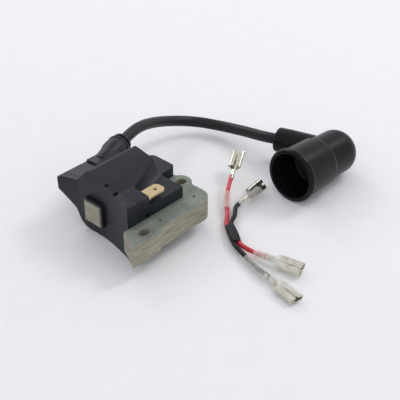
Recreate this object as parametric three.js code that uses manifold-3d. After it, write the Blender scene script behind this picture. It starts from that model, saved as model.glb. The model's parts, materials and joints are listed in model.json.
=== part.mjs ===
// Ignition coil of a small two-stroke engine, with its high-tension lead, elbow plug boot
// and loose kill lead. Millimetres, +Z up, standing on its bench face at Z = 0. The
// flywheel runs on the -Y side, about a vertical axis.
import * as THREE from "three";
import { ConvexGeometry } from "three/addons/geometries/ConvexGeometry.js";
import { mergeVertices } from "three/addons/utils/BufferGeometryUtils.js";
import Module from "manifold-3d";

const wasm = await Module();
wasm.setup();

// ---------- driving dimensions ----------

// The coil is drawn from the middle of its wound leg's pole face, at the core's top.
const COIL_ORIGIN = new THREE.Vector3(-4, -17.5, 17); // where that point lies in the part's frame
const BENCH = -COIL_ORIGIN.z; // the bench surface, in the coil's own frame

// laminated core
const SHEETS = 10;
const SHEET_PITCH = 1.02;
const SHEET_THICK = 1.0;
const CORE_DEPTH = SHEETS * SHEET_PITCH;
const POLE_R = 71; // radius of the arc through the pole faces, about the flywheel's axis
const LEG_HALF = 4.8; // half the width of the wound leg
const WINDOW_X = 25.2; // inner side of the side leg
const SIDE_X = 34.7; // outer side of the side leg
const TIP_X = 35.9; // far end of the side leg's pole face
const PAD = { x: 36.56, from: -2, to: 3, fades: 7.5 }; // the foot that stands out of the side leg
const YOKE_IN = 31.5;
const YOKE_OUT = 41.5;
const YOKE_FAR_X = -4.8;
const CORNER_R = 8;
const YOKE_FAR_R = 2;
// The ear round slot A. half: degrees of arc either side of its top; foot and neck: how far
// from its middle it leaves the yoke and turns upwards.
const EAR = { x: 15.8, y: 39.45, r: 5.3, half: 58, foot: 6.6, neck: 5.2 };
const SLOT_A = { x: 16.2, y: 39.6 };
const SLOT_B = { x: 31.4, y: 1.2 };
const SLOT_R = 2.15;
const SLOT_HALF = 0.5; // half the straight part of a slot
// The V-shaped marks that lock the sheets together, and their size.
const INTERLOCKS = [
  [28.5, 35],
  [30, 12.2],
  [0.5, 36.5],
];
const MARK = { half: 1.1, back: 0.6, tip: 0.8 };

// case
const FACE_GAP = 2.3; // the case's face stands back from the pole faces by this
const CASE_FRONT = 3.9;
const CASE_BACK = 31.2;
const CLEAR = 0.3; // between pieces that are cut to fit each other
const FIT = 0.05; // between a winding and its bobbin
const CASE_X = 25.4;
const FLANGE_X = 27.4;
const PLATFORM_Z = 5.7;
const PLATFORM_Y = 10.8;
const LUG = { x0: -4.8, x1: 10.6, y0: 27.2, y1: 42, z0: 0.3, z1: 5, r: 2.5 }; // over the yoke
const SHELF = [-20.2, -12, 15.5, 30, 0.5, 7.8]; // under the outlet; boxes are x, y and z limits
const DRIP_NOTCH = [24.8, 26, 8.5, 11, 0, 2.2]; // at the foot of the side wall
const COVER_NOTCHES = [
  [7.4, 8.9, -2, 5, 11.6, 14],
  [13.7, 15.2, -2, 5, 10.2, 12],
];
const CASE_TOP = 16; // above everything that is cut away over the platform
const WALL_FOOT = { near: 17.5, far: 13.2 }; // of the wall beside the platform, at its two ends
const WALL_BROW = { near: 16.2, far: 5.6 };
const PLATFORM_END = 33;
const PLUG_Y = 27.4; // inner face of the cast resin
const PLUG_SUNK = 0.6; // under the case's edge
const PLUG_FIT = 0.985;

// kill terminal
const TAB = { x0: 18.2, x1: 24.5, y0: 6, y1: 22, z0: 8, z1: 8.8, chamfer: 1.4 };
const TAB_STOP = { out: 0.4, from: 11, to: 12.2, fades: 0.6 }; // shoulders that stop a receptacle
const TAB_HOLE = { y: 18.2, r: 0.85 };
const TAB_FOOT = [19, 23.7, 6, 6.8, 3.4, 8.4];
const TAB_SLOT = [17.5, 25.1, 5.6, 13, 7.7, 9.1]; // in the case
const TAB_WELL = [18.7, 24, 5.6, 7.1, 3, 9.1];

// ignition module, as boxes and round parts
const BOARD_BOX = [11.5, 12.7, 6, 25.5, -10, 3];
const POWER_BOX = [12.8, 17.2, 8, 18, -8, 1];
const CAPACITOR_BOX = [12.8, 15.6, 19.6, 24.6, -2.6, 2.4];
const DRIVER = { x: 15, z: -12, half: 2.2, r: 1.6, from: 9, to: 13.6 };
const RESISTOR = { at: [14, 22.2, -6], r: 1.1, length: 6 };

// windings, as half sizes outside the wound leg's section
const TUBE_IN = 0.15;
const TUBE_OUT = 0.95;
const PRIMARY_OUT = 2.2;
const INNER_OUT = 3.0;
const SECONDARY_OUT = 4.1;
const SECTIONS = 4;
const LEG_CORNER_R = 0.1;
const TUBE = { from: 0.5, to: 30.9 }; // along the leg
const PRIMARY = { from: 6, to: 25 };
const SECONDARY = { from: 5, to: 26, flange: 0.8 };

// high-tension outlet
const OUTLET = { x: -24, y: 41.2, z: 4, yaw: 20 }; // middle of its mouth; yaw from +Y to -X
const PIN_R = 0.7;
const PASSAGE_R = 1.3; // round the pin
const LEAD_D = 5.5;
const WIRE_D = 2.1;
const CORD_GAP = 0.3;

// ---------- materials ----------

function finish(color, roughness, metalness, opacity = 1) {
  return new THREE.MeshStandardMaterial({
    color,
    roughness,
    metalness,
    opacity,
    transparent: opacity < 1,
  });
}
const STEEL = finish(0x8c948c, 0.55, 0.7);
const CASE_PLASTIC = finish(0x2b2f34, 0.45, 0);
const BOBBIN_PLASTIC = finish(0x15171a, 0.4, 0);
const RESIN = finish(0x1d1c1a, 0.25, 0);
const COPPER = finish(0xa4552a, 0.35, 0.8);
const BRASS = finish(0xd9b36c, 0.35, 0.8);
const TINNED = finish(0xb9b6a6, 0.35, 0.8);
const BOARD = finish(0x27633a, 0.6, 0);
const CHIP = finish(0x17181a, 0.6, 0);
const CERAMIC = finish(0xc98a3c, 0.5, 0);
const RUBBER = finish(0x101112, 0.5, 0);
const RED_PVC = finish(0xc01a2b, 0.45, 0);
const BLACK_PVC = finish(0x141414, 0.5, 0);
const CLEAR_PVC = finish(0xd8d6c4, 0.25, 0, 0.5);

// ---------- helpers ----------

const part = new THREE.Group();
part.name = "ignition_coil";
const coil = new THREE.Group();
coil.position.copy(COIL_ORIGIN);
part.add(coil);

function add(parent, name, geometry, material) {
  const mesh = new THREE.Mesh(geometry, material);
  mesh.name = name;
  parent.add(mesh);
  return mesh;
}

// A closed geometry as a manifold solid.
function solid(geometry) {
  const bare = geometry.index ? geometry.toNonIndexed() : geometry.clone();
  bare.deleteAttribute("normal");
  bare.deleteAttribute("uv");
  const merged = mergeVertices(bare, 1e-4);
  return new wasm.Manifold(
    new wasm.Mesh({
      numProp: 3,
      vertProperties: merged.attributes.position.array,
      triVerts: new Uint32Array(merged.index.array),
    }),
  );
}

function shapeOf(made) {
  const mesh = made.getMesh();
  const geometry = new THREE.BufferGeometry();
  geometry.setAttribute("position", new THREE.BufferAttribute(mesh.vertProperties, 3));
  geometry.setIndex(new THREE.BufferAttribute(mesh.triVerts, 1));
  return geometry;
}

function join(...geometries) {
  return shapeOf(geometries.map(solid).reduce((a, b) => a.add(b)));
}

function cut(body, ...tools) {
  return shapeOf(tools.map(solid).reduce((a, b) => a.subtract(b), solid(body)));
}

// A box from its lowest to its highest corner.
function block(x0, x1, y0, y1, z0, z1) {
  return new THREE.BoxGeometry(x1 - x0, y1 - y0, z1 - z0).translate(
    (x0 + x1) / 2,
    (y0 + y1) / 2,
    (z0 + z1) / 2,
  );
}

// An outline in X and Y, raised from z0 to z1.
function raised(shape, z0, z1, curveSegments = 10) {
  return new THREE.ExtrudeGeometry(shape, {
    depth: z1 - z0,
    bevelEnabled: false,
    curveSegments,
  }).translate(0, 0, z0);
}

// An outline in X and Z, drawn out along Y from y0 to y1.
function alongY(shape, y0, y1, curveSegments = 6) {
  return new THREE.ExtrudeGeometry(shape, {
    depth: y1 - y0,
    bevelEnabled: false,
    curveSegments,
  })
    .rotateX(Math.PI / 2)
    .translate(0, y1, 0);
}

function outline(points) {
  return new THREE.Shape(points.map(([a, b]) => new THREE.Vector2(a, b)));
}

// A rectangle with round corners, about a middle.
function roundedRect(cx, cy, halfX, halfY, r) {
  const s = new THREE.Shape();
  s.absarc(cx + halfX - r, cy + halfY - r, r, 0, Math.PI / 2, false);
  s.absarc(cx - halfX + r, cy + halfY - r, r, Math.PI / 2, Math.PI, false);
  s.absarc(cx - halfX + r, cy - halfY + r, r, Math.PI, 1.5 * Math.PI, false);
  s.absarc(cx + halfX - r, cy - halfY + r, r, 1.5 * Math.PI, 2 * Math.PI, false);
  return s;
}

function slot({ x, y }) {
  const p = new THREE.Path();
  p.absarc(x, y + SLOT_HALF, SLOT_R, 0, Math.PI, false);
  p.absarc(x, y - SLOT_HALF, SLOT_R, Math.PI, 2 * Math.PI, false);
  p.closePath();
  return p;
}

// Turned about +Y: a profile of [radius, y] pairs, closed on the axis or on itself.
function turned(profile, segments) {
  return new THREE.LatheGeometry(
    profile.map(([r, y]) => new THREE.Vector2(r, y)),
    segments,
  );
}

function circle(r, sides) {
  const points = Array.from({ length: sides }, (_, i) => {
    const a = (2 * Math.PI * i) / sides;
    return [r * Math.cos(a), r * Math.sin(a)];
  });
  return outline(points);
}

function smooth(points) {
  return new THREE.CatmullRomCurve3(
    points.map((p) => new THREE.Vector3(...p)),
    false,
    "centripetal",
  );
}

// A round cord along a smooth route.
function cord(points, diameter, steps, sides = 8) {
  return new THREE.ExtrudeGeometry(circle(diameter / 2, sides), {
    steps,
    extrudePath: smooth(points),
    bevelEnabled: false,
  });
}

// A group whose +Y points along a direction and whose +Z stays as near up as it can.
function facing(direction, at) {
  const y = new THREE.Vector3(...direction).normalize();
  const x = new THREE.Vector3().crossVectors(y, new THREE.Vector3(0, 0, 1)).normalize();
  const z = new THREE.Vector3().crossVectors(x, y);
  const group = new THREE.Group();
  group.quaternion.setFromRotationMatrix(new THREE.Matrix4().makeBasis(x, y, z));
  group.position.set(...at);
  part.add(group);
  return group;
}

// ---------- laminated core ----------

function poleY(x, r = POLE_R) {
  return Math.sqrt(r * r - x * x) - POLE_R;
}

function coreOutline() {
  const s = new THREE.Shape();
  const angle = (x) => Math.acos(x / POLE_R);
  s.moveTo(-LEG_HALF, poleY(-LEG_HALF));
  s.lineTo(LEG_HALF, poleY(LEG_HALF));
  s.lineTo(LEG_HALF, YOKE_IN);
  s.lineTo(WINDOW_X, YOKE_IN);
  s.lineTo(WINDOW_X, poleY(WINDOW_X));
  s.absarc(0, -POLE_R, POLE_R, angle(WINDOW_X), angle(TIP_X), true);
  s.lineTo(PAD.x, PAD.from);
  s.lineTo(PAD.x, PAD.to);
  s.quadraticCurveTo(PAD.x, PAD.fades - 1, SIDE_X, PAD.fades);
  s.lineTo(SIDE_X, YOKE_OUT - CORNER_R);
  s.absarc(SIDE_X - CORNER_R, YOKE_OUT - CORNER_R, CORNER_R, 0, Math.PI / 2, false);
  s.lineTo(EAR.x + EAR.foot, YOKE_OUT);
  const from = THREE.MathUtils.degToRad(90 - EAR.half);
  const to = THREE.MathUtils.degToRad(90 + EAR.half);
  s.quadraticCurveTo(
    EAR.x + EAR.neck,
    YOKE_OUT,
    EAR.x + EAR.r * Math.cos(from),
    EAR.y + EAR.r * Math.sin(from),
  );
  s.absarc(EAR.x, EAR.y, EAR.r, from, to, false);
  s.quadraticCurveTo(EAR.x - EAR.neck, YOKE_OUT, EAR.x - EAR.foot, YOKE_OUT);
  s.lineTo(YOKE_FAR_X + YOKE_FAR_R, YOKE_OUT);
  s.quadraticCurveTo(YOKE_FAR_X, YOKE_OUT, YOKE_FAR_X, YOKE_OUT - YOKE_FAR_R);
  s.closePath();
  s.holes.push(slot(SLOT_A), slot(SLOT_B));
  for (const [x, y] of INTERLOCKS) {
    const v = new THREE.Path();
    v.moveTo(x - MARK.half, y - MARK.back);
    v.lineTo(x + MARK.half, y - MARK.back);
    v.lineTo(x, y + MARK.tip);
    v.closePath();
    s.holes.push(v);
  }
  return s;
}

function buildCore() {
  for (let i = 0; i < SHEETS; i += 1) {
    const top = -i * SHEET_PITCH;
    const name = `core_lamination_${String(i + 1).padStart(2, "0")}`;
    add(coil, name, raised(coreOutline(), top - SHEET_THICK, top, 5), STEEL);
  }
}

// ---------- case ----------

// The case seen from the flywheel, in X and Z.
function caseOutline() {
  return outline([
    [-21.6, 5.2],
    [-20.6, 6.4],
    [-10.2, 7.4],
    [-5.6, 13.2],
    [-4.8, 14.1],
    [-3.6, 14.5],
    [8.5, 12.4],
    [14.8, 11],
    [24.4, 10.6],
    [CASE_X, 9.8],
    [CASE_X, 0.2],
    [WINDOW_X - CLEAR, 0.2],
    [WINDOW_X - CLEAR, -CORE_DEPTH - CLEAR],
    [FLANGE_X, -CORE_DEPTH - CLEAR],
    [FLANGE_X, -15.6],
    [18, BENCH],
    [-4, BENCH],
    [-7.2, -16.3],
    [-9.8, -14],
    [-12.3, -8.2],
    [-21.4, -0.8],
  ]);
}

function cavityOutline() {
  return outline([
    [-19.9, 0.1],
    [-19.9, 4.7],
    [-9.4, 5.7],
    [-4.6, 11.8],
    [-3.4, 12.7],
    [7.6, 10.9],
    [9.2, 4.2],
    [23.4, 4.2],
    [23.4, -15.1],
    [17.6, -15.5],
    [-3.6, -15.5],
    [-6.4, -14.8],
    [-8.4, -13.2],
    [-10.9, -7.4],
  ]);
}

// The wound leg's section grown by an amount, in X and Z.
function aroundLeg(grown) {
  return roundedRect(
    0,
    -CORE_DEPTH / 2,
    LEG_HALF + grown,
    CORE_DEPTH / 2 + grown,
    grown + LEG_CORNER_R,
  );
}

const flywheelSweep = new THREE.CylinderGeometry(POLE_R + FACE_GAP, POLE_R + FACE_GAP, 60, 240)
  .rotateX(Math.PI / 2)
  .translate(0, -POLE_R, 0);

function outletAxis() {
  const yaw = THREE.MathUtils.degToRad(OUTLET.yaw);
  return new THREE.Vector3(-Math.sin(yaw), Math.cos(yaw), 0);
}

// Turned about the outlet's axis; y = 0 is the outlet's mouth.
function onOutlet(profile, segments = 28) {
  return turned(profile, segments)
    .rotateZ(THREE.MathUtils.degToRad(OUTLET.yaw))
    .translate(OUTLET.x, OUTLET.y, OUTLET.z);
}

// The way that the high-tension pin takes from the windings to the lead.
function pinPassage() {
  return onOutlet(
    [
      [0, -26],
      [PASSAGE_R, -26],
      [PASSAGE_R, -3],
      [0, -3],
    ],
    12,
  );
}

function buildFrontCover() {
  const plate = cut(
    alongY(caseOutline(), -6, CASE_FRONT - 0.1),
    flywheelSweep,
    alongY(aroundLeg(TUBE_OUT + 0.15), -8, 8),
    ...COVER_NOTCHES.map((limits) => block(...limits)),
  );
  add(coil, "case_front_cover", plate, CASE_PLASTIC);
}

function buildCase() {
  const tower = onOutlet([
    [0, -22],
    [4.4, -22],
    [4.9, -14],
    [5.6, -9],
    [5.6, -4],
    [4.4, -3.1],
    [0, -3.1],
  ]);
  const lug = roundedRect(
    (LUG.x0 + LUG.x1) / 2,
    (LUG.y0 + LUG.y1) / 2,
    (LUG.x1 - LUG.x0) / 2,
    (LUG.y1 - LUG.y0) / 2,
    LUG.r,
  );
  const platform = new ConvexGeometry(
    [
      [WALL_FOOT.near, PLATFORM_Y, PLATFORM_Z],
      [SIDE_X, PLATFORM_Y, PLATFORM_Z],
      [SIDE_X, PLATFORM_END, PLATFORM_Z],
      [WALL_FOOT.far, PLATFORM_END, PLATFORM_Z],
      [WALL_BROW.near, PLATFORM_Y, CASE_TOP],
      [SIDE_X, PLATFORM_Y, CASE_TOP],
      [SIDE_X, PLATFORM_END, CASE_TOP],
      [WALL_BROW.far, PLATFORM_END, CASE_TOP],
    ].map((p) => new THREE.Vector3(...p)),
  );
  const body = join(
    alongY(caseOutline(), CASE_FRONT, CASE_BACK),
    block(...SHELF),
    tower,
    raised(lug, LUG.z0, LUG.z1),
  );
  const shell = cut(
    body,
    platform,
    alongY(cavityOutline(), CASE_FRONT - 2, CASE_BACK - 1.5),
    alongY(cavityOutline(), CASE_BACK - 2, CASE_BACK + 0.5),
    block(...TAB_SLOT),
    block(...TAB_WELL),
    block(...DRIP_NOTCH),
    pinPassage(),
  );
  add(coil, "coil_case", shell, CASE_PLASTIC);
}

// ---------- windings and their bobbins ----------

function ringAlongY(outer, inner, y0, y1) {
  const s = aroundLeg(outer);
  s.holes.push(aroundLeg(inner));
  return alongY(s, y0, y1, 2);
}

function buildWindings() {
  const tube = ringAlongY(TUBE_OUT, TUBE_IN, TUBE.from, TUBE.to);
  add(coil, "primary_bobbin", tube, BOBBIN_PLASTIC);
  const primary = ringAlongY(PRIMARY_OUT, TUBE_OUT + FIT, PRIMARY.from, PRIMARY.to);
  add(coil, "primary_winding", primary, COPPER);
  const { from, to, flange } = SECONDARY;
  const room = (to - from - flange) / SECTIONS;
  const inner = PRIMARY_OUT + 2 * FIT;
  const flanges = Array.from({ length: SECTIONS + 1 }, (_, i) => {
    const y = from + i * room;
    return ringAlongY(SECONDARY_OUT + CLEAR, inner, y, y + flange);
  });
  const former = ringAlongY(INNER_OUT, inner, from, to);
  add(coil, "secondary_bobbin", join(former, ...flanges), BOBBIN_PLASTIC);
  for (let i = 0; i < SECTIONS; i += 1) {
    const y = from + i * room + flange + FIT;
    const section = ringAlongY(SECONDARY_OUT, INNER_OUT + FIT, y, y + room - flange - 2 * FIT);
    add(coil, `secondary_winding_${i + 1}`, section, COPPER);
  }
}

function buildResin() {
  const plug = cut(
    alongY(cavityOutline(), PLUG_Y, CASE_BACK - PLUG_SUNK),
    alongY(aroundLeg(TUBE_OUT + CLEAR), PLUG_Y - 1, CASE_BACK + 1),
    pinPassage(),
  );
  const fitted = plug.scale(PLUG_FIT, 1, PLUG_FIT).translate(0, 0, -0.05);
  add(coil, "potting_resin", fitted, RESIN);
}

// ---------- ignition module ----------

function buildModule() {
  add(coil, "module_circuit_board", block(...BOARD_BOX), BOARD);
  add(coil, "power_transistor", block(...POWER_BOX), CHIP);
  const can = roundedRect(DRIVER.x, DRIVER.z, DRIVER.half, DRIVER.half, DRIVER.r);
  add(coil, "driver_transistor", alongY(can, DRIVER.from, DRIVER.to), CHIP);
  const { at, r, length } = RESISTOR;
  const resistor = new THREE.CylinderGeometry(r, r, length, 12).translate(...at);
  add(coil, "bias_resistor", resistor, CERAMIC);
  add(coil, "suppressor_capacitor", block(...CAPACITOR_BOX), CERAMIC);
}

function buildTerminal() {
  const { x0, x1, y0, y1, z0, z1, chamfer } = TAB;
  const { out, from, to, fades } = TAB_STOP;
  const blade = outline([
    [x0, y0],
    [x1, y0],
    [x1, from - out],
    [x1 + out, from],
    [x1 + out, to],
    [x1, to + fades],
    [x1, y1 - chamfer],
    [x1 - chamfer, y1],
    [x0 + chamfer, y1],
    [x0, y1 - chamfer],
    [x0, to + fades],
    [x0 - out, to],
    [x0 - out, from],
    [x0, from - out],
  ]);
  const hole = new THREE.Path();
  hole.absarc((x0 + x1) / 2, TAB_HOLE.y, TAB_HOLE.r, 0, 2 * Math.PI, false);
  blade.holes.push(hole);
  add(coil, "kill_terminal", join(raised(blade, z0, z1, 8), block(...TAB_FOOT)), BRASS);
}

// ---------- high-tension outlet ----------

function buildOutlet() {
  const grommet = onOutlet([
    [0, -2.8],
    [4.1, -2.8],
    [4.1, -1.8],
    [4.85, -1.8],
    [4.85, 0],
    [3.1, 0],
    [3.1, -1.6],
    [0, -1.6],
  ]);
  add(coil, "lead_grommet", grommet, RUBBER);
  const pin = onOutlet(
    [
      [0, -20],
      [PIN_R, -20],
      [PIN_R, -5],
      [0, -3.4],
    ],
    12,
  );
  add(coil, "high_tension_pin", pin, BRASS);
}

// ---------- lead and plug boot ----------

// Centreline from just outside the outlet's grommet to just outside the boot's inlet.
const LEAD_ROUTE = [
  [-28.1, 24, 21],
  [-29.5, 27.8, 21.1],
  [-31.1, 32.6, 21],
  [-32.8, 37.8, 20.4],
  [-34.6, 44.2, 19],
  [-36.2, 51.3, 16.7],
  [-37.2, 58.5, 14.1],
  [-37.3, 65.2, 11.6],
  [-36.2, 71.5, 9.5],
  [-33.7, 77.2, 7.8],
  [-29.7, 81.8, 6.7],
  [-24.4, 85, 6.2],
  [-18.3, 86.8, 6.5],
  [-11.9, 87.4, 7.4],
  [-5.8, 87.3, 8.6],
  [-0.2, 87, 9.7],
  [5.2, 86.7, 10.7],
  [10.1, 86.7, 11.6],
  [14.5, 87.4, 12.15],
];

const BOOT = {
  rim: [42.5, 63.7, 13.3], // middle of the cup's mouth
  axis: [0.03, 1, -0.04], // from the mouth to the dome
  length: 43.5,
  elbow: 32, // where the inlet's axis crosses, from the mouth
  rimR: 13.2,
  cupR: 12.4,
  cupLength: 20,
  neckR: 10.9,
  inletR: 6.1,
  mouth: [15.6, 87.55, 12.35], // middle of the inlet's mouth
  boreR: 6.6, // round the plug's insulator
  boreEnd: 36.5,
  leadDepth: 6, // how far the lead goes into the inlet
  leadSetBack: 1.1, // from the inlet's mouth to the piece of lead inside it
};

// The spring that grips the plug's terminal, at the deep end of the boot's bore.
const SPRING = { from: 28, to: 35, r: 4.2, wire: 1.1, turns: 4, steps: 10 };

function buildLead() {
  add(part, "ht_lead", cord(LEAD_ROUTE, LEAD_D, 36, 10), RUBBER);
}

function bootShell() {
  const { length, neckR, rimR, cupR, cupLength } = BOOT;
  const dome = Array.from({ length: 7 }, (_, i) => {
    const a = (i / 6) * (Math.PI / 2);
    return [neckR * Math.cos(a), length - neckR * 0.86 * (1 - Math.sin(a))];
  });
  dome[6][0] = 0;
  const outer = turned(
    [
      [0, 0],
      [rimR - 0.6, 0],
      [rimR, 0.8],
      [rimR, 2.4],
      [cupR, 3.2],
      [cupR - 0.4, cupLength],
      [neckR, cupLength + 1.6],
      ...dome,
    ],
    30,
  );
  const bore = turned(
    [
      [0, -1],
      [rimR - 2, -1],
      [rimR - 2.4, 3],
      [rimR - 2.8, 16],
      [BOOT.boreR, 17],
      [BOOT.boreR, BOOT.boreEnd],
      [0, BOOT.boreEnd],
    ],
    30,
  );
  return { outer, bore };
}

function buildBoot() {
  const boot = facing(BOOT.axis, BOOT.rim);
  boot.updateMatrixWorld(true);
  const toLocal = boot.matrixWorld.clone().invert();
  const elbow = new THREE.Vector3(0, BOOT.elbow, 0);
  const mouth = new THREE.Vector3(...BOOT.mouth).applyMatrix4(toLocal);
  const away = mouth.clone().sub(elbow);
  const turn = new THREE.Quaternion().setFromUnitVectors(
    new THREE.Vector3(0, 1, 0),
    away.clone().normalize(),
  );
  const placed = (geometry) =>
    geometry.applyQuaternion(turn).translate(elbow.x, elbow.y, elbow.z);
  const reach = away.length();
  const inlet = placed(
    turned(
      [
        [0, 0],
        [BOOT.inletR + 0.5, 0],
        [BOOT.inletR + 0.3, reach - 8],
        [BOOT.inletR, reach - 0.6],
        [BOOT.inletR - 0.6, reach],
        [0, reach],
      ],
      28,
    ),
  );
  const rod = (r, y0, y1, segments) =>
    placed(
      turned(
        [
          [0, y0],
          [r, y0],
          [r, y1],
          [0, y1],
        ],
        segments,
      ),
    );
  const inside = reach - BOOT.leadDepth;
  const leadBore = rod(LEAD_D / 2 + 0.2, inside, reach + 1, 20);
  const { outer, bore } = bootShell();
  add(boot, "plug_boot", cut(join(outer, inlet), bore, leadBore), RUBBER);
  add(boot, "ht_lead_end", rod(LEAD_D / 2, inside + CORD_GAP, reach - BOOT.leadSetBack, 12), RUBBER);

  const count = SPRING.turns * SPRING.steps;
  const helix = Array.from({ length: count + 1 }, (_, i) => {
    const a = (i / SPRING.steps) * 2 * Math.PI;
    const y = SPRING.from + ((SPRING.to - SPRING.from) * i) / count;
    return [SPRING.r * Math.cos(a), y, SPRING.r * Math.sin(a)];
  });
  add(boot, "plug_contact_spring", cord(helix, SPRING.wire, count, 5), TINNED);
}

// ---------- kill lead ----------

const SPLICE = { from: [38.4, 26.2, 2.4], to: [48.2, 19.4, 2.4], halfWide: 2.4, halfHigh: 2 };
// A clear sleeve is a round tube on the wire and crimp, widened to an oval over the socket.
const SLEEVE = { r: 1.9, wall: 0.3, halfWide: 3.8, halfHigh: 1.75, widens: 7, sides: 10 };
// A terminal from the back of its crimp barrel: barrel, neck and length are distances along it.
const TERMINAL = {
  barrelR: 1.3,
  barrel: 6,
  neck: 9,
  halfNeck: 1.1,
  length: 19.5,
  edgeX: 2, // middle of each rolled edge
  curlR: 1.05,
  lip: 0.9, // half the gap between the rolled edges
  wall: 0.4,
};

// Each wire from its crimp to the splice. heading is where its terminal points, and roll how
// many degrees it is turned about that, off lying flat. sleeve is how its clear sleeve lies:
// the points of the wire that it covers, and how far up the terminal it reaches, or 0 where
// it is pushed back along the wire.
const WIRES = [
  {
    name: "red_wire_long",
    terminal: "red_receptacle_long",
    sleeveName: "clear_sleeve_red_long",
    color: RED_PVC,
    heading: [-9.7, 17.4, 4.2],
    roll: 0,
    route: [
      [16.7, 51.4, 5.8],
      [18.6, 48.1, 5.1],
      [20.8, 44.7, 4.4],
      [23.4, 41.3, 3.7],
      [26.4, 37.9, 3.1],
      [29.4, 34.6, 2.7],
      [32.3, 31.4, 2.5],
      [34.1, 28.8, 2.4],
      [35.7, 26.7, 2.4],
      [37.4, 25.5, 2.4],
    ],
    sleeve: {
      on: [
        [21.6, 43.6, 4.2],
        [23.4, 41.3, 3.7],
        [26.4, 37.9, 3.1],
        [28.9, 35.15, 2.75],
      ],
      upTo: 0,
    },
  },
  {
    name: "black_wire_short",
    terminal: "black_receptacle_short",
    sleeveName: "clear_sleeve_black_short",
    color: BLACK_PVC,
    heading: [-1.5, 14.2, 0.5],
    roll: 50,
    route: [
      [30.5, 41.6, 3.4],
      [30.8, 39.2, 3.1],
      [32.4, 36.8, 2.8],
      [34.5, 33.9, 2.5],
      [35.7, 31, 2.4],
      [37.1, 28.6, 2.4],
      [38.7, 27.45, 2.4],
    ],
    sleeve: {
      on: [
        [30.5, 41.6, 3.4],
        [30.55, 41.1, 3.35],
        [30.6, 40.7, 3.3],
      ],
      upTo: 14,
    },
  },
  {
    name: "red_wire_short",
    terminal: "red_receptacle_short",
    sleeveName: "clear_sleeve_red_short",
    color: RED_PVC,
    heading: [1, 0.17, 0.02],
    roll: 40,
    route: [
      [62.2, 19.3, 3],
      [59.2, 19.1, 2.7],
      [56, 19.1, 2.4],
      [53.4, 19.2, 2.4],
      [51, 19.35, 2.4],
      [49.2, 20.15, 2.4],
    ],
    sleeve: {
      on: [
        [62.2, 19.3, 3],
        [60.4, 19.15, 2.85],
        [59.2, 19.1, 2.7],
      ],
      upTo: 19,
    },
  },
  {
    name: "black_wire_long",
    terminal: "black_receptacle_long",
    sleeveName: "clear_sleeve_black_long",
    color: BLACK_PVC,
    heading: [0.984, -0.18, -0.02],
    roll: 0,
    route: [
      [71.6, 10.7, 2.6],
      [67.4, 11.6, 2.4],
      [63, 12.8, 2.4],
      [58.6, 14.1, 2.4],
      [54.4, 15.6, 2.4],
      [50.2, 17.05, 2.4],
      [47.9, 18.25, 2.4],
    ],
    sleeve: {
      on: [
        [71.6, 10.7, 2.6],
        [67.4, 11.6, 2.4],
        [63, 12.8, 2.4],
        [58.6, 14.1, 2.4],
      ],
      upTo: 19,
    },
  },
];

// A point moved a distance towards another.
function towards(from, to, distance) {
  const a = new THREE.Vector3(...from);
  const b = new THREE.Vector3(...to);
  return a.add(b.sub(a).setLength(distance)).toArray();
}

function receptacleSection() {
  const { edgeX, curlR, lip, wall } = TERMINAL;
  const inner = curlR - wall;
  const up = Math.PI / 2;
  const s = new THREE.Shape();
  s.absarc(edgeX, 0, curlR, -up, up, false);
  s.lineTo(lip, curlR);
  s.lineTo(lip, inner);
  s.absarc(edgeX, 0, inner, up, -up, true);
  s.absarc(-edgeX, 0, inner, -up, -3 * up, true);
  s.lineTo(-lip, inner);
  s.lineTo(-lip, curlR);
  s.absarc(-edgeX, 0, curlR, up, 3 * up, false);
  s.closePath();
  return s;
}

function buildTerminalEnd(wire) {
  const [end, next] = wire.route;
  const group = facing(wire.heading, towards(end, next, -CORD_GAP));
  group.rotateY(THREE.MathUtils.degToRad(wire.roll));
  const { barrelR, barrel, neck, halfNeck, length, curlR, wall } = TERMINAL;
  const crimp = turned(
    [
      [0, 0],
      [barrelR, 0],
      [barrelR, barrel],
      [0, barrel],
    ],
    16,
  );
  const strip = block(-halfNeck, halfNeck, barrel - 0.5, neck + wall, -curlR, -curlR + wall);
  const socket = alongY(receptacleSection(), neck, length, 5);
  add(group, wire.terminal, join(crimp, strip, socket), TINNED);
  return group;
}

// The space inside a sleeve, or its outside when grown by the wall, longer at each end by past.
function sleeveSolid(wire, terminal, grown, past) {
  const { on, upTo } = wire.sleeve;
  const { r, wall, halfWide, halfHigh, widens } = SLEEVE;
  const radius = r - wall + grown;
  const last = on.length - 1;
  const end = towards(on[last], on[last - 1], -past);
  if (!upTo) {
    const start = towards(on[0], on[1], -past);
    return cord([start, ...on, end], 2 * radius, 2 * on.length, SLEEVE.sides);
  }
  terminal.updateMatrixWorld(true);
  const inTerminal = (y) => new THREE.Vector3(0, y, 0).applyMatrix4(terminal.matrixWorld).toArray();
  const tail = [inTerminal(widens + wall + grown), inTerminal(widens / 2), ...on.slice(1)];
  const halfX = halfWide - wall + grown;
  const halfZ = halfHigh - wall + grown;
  const section = roundedRect(0, 0, halfX, halfZ, halfZ - 0.1);
  const oval = alongY(section, widens + wall - grown, upTo + past, 3);
  return join(
    cord([...tail, end], 2 * radius, 2 * tail.length, SLEEVE.sides),
    oval.applyMatrix4(terminal.matrixWorld),
  );
}

function buildSleeve(wire, terminal) {
  const outside = sleeveSolid(wire, terminal, SLEEVE.wall, 0.05);
  const inside = sleeveSolid(wire, terminal, 0, 1);
  add(part, wire.sleeveName, cut(outside, inside), CLEAR_PVC);
}

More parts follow.
